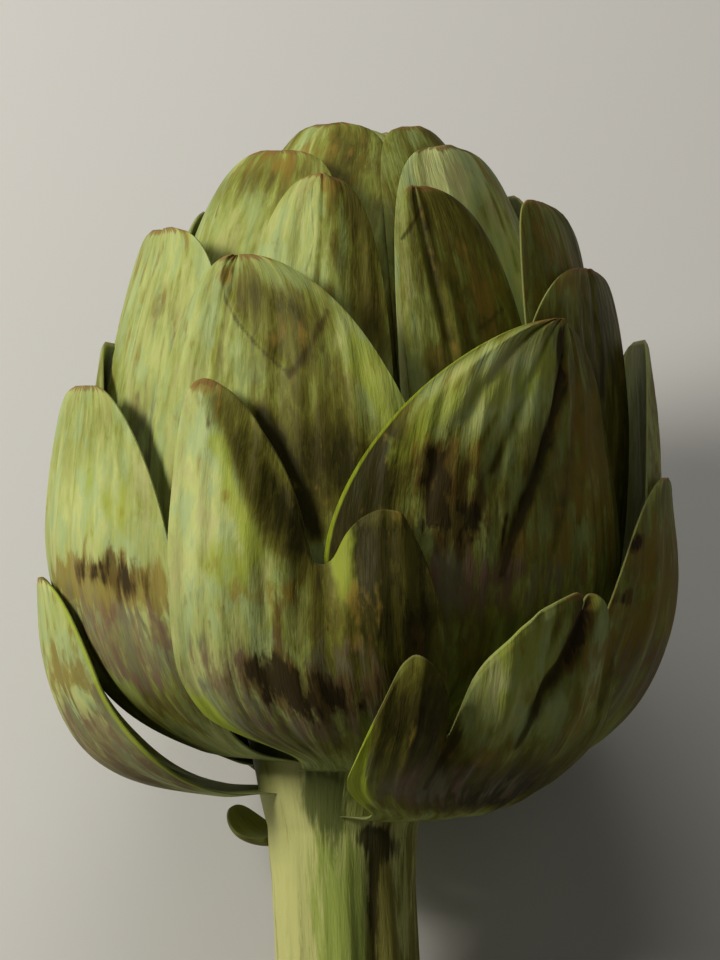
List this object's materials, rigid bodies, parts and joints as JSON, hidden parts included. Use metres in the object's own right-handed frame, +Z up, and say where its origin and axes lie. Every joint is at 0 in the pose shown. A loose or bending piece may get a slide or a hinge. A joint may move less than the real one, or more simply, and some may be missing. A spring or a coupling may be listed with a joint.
{
  "type": "globe artichoke",
  "caption": "Whole fresh globe artichoke with overlapping green bracts round a tight bud, on a short cut stem, lying on its side.",
  "frame": {"origin": "centre of the bounding box on the surface it lies on", "axes": "+Z up; +Y along the head from the cut stem to the tip, which rises 27 degrees; +X to the right of the side turned up"},
  "size_m": [0.1028, 0.1522, 0.1033],
  "materials": {
    "leaf": "waxy satin, ribbed",
    "stem": "fibrous satin"
  },
  "bodies": {
    "root": {"stem": "stem", "heart_bud": "leaf", "bract_low_left": "leaf", "bract_low_right": "leaf", "bract_front_split": "leaf", "bract_right_low": "leaf", "bract_rest": "leaf", "bract_back_low_1": "leaf", "bract_back_low_2": "leaf", "bract_left_big": "leaf", "bract_right_back": "leaf", "bract_left_back": "leaf", "bract_back_second_1": "leaf", "bract_back_second_2": "leaf", "bract_back_second_3": "leaf", "bract_right_big": "leaf", "bract_right_mid": "leaf", "bract_centre": "leaf", "bract_left_mid": "leaf", "bract_back_third_1": "leaf", "bract_back_third_2": "leaf", "bract_back_fourth_1": "leaf", "bract_back_fourth_2": "leaf", "bract_back_fourth_3": "leaf", "bract_crown_far_right": "leaf", "bract_crown_right": "leaf", "bract_crown_left": "leaf", "bract_crown_inner_right": "leaf", "bract_crown_far_left": "leaf", "bract_back_crown_1": "leaf", "bract_back_crown_2": "leaf", "bract_back_crown_3": "leaf", "bract_back_crown_4": "leaf", "bract_back_inner_1": "leaf", "bract_back_inner_2": "leaf", "bract_back_inner_3": "leaf", "bract_back_inner_4": "leaf", "bract_back_inner_5": "leaf", "bract_top_left": "leaf", "bract_top_right": "leaf", "bract_back_top_1": "leaf", "bract_back_top_2": "leaf", "bract_back_top_3": "leaf", "bract_back_top_4": "leaf", "bract_stem_scale": "leaf"}
  },
  "joints": []
}
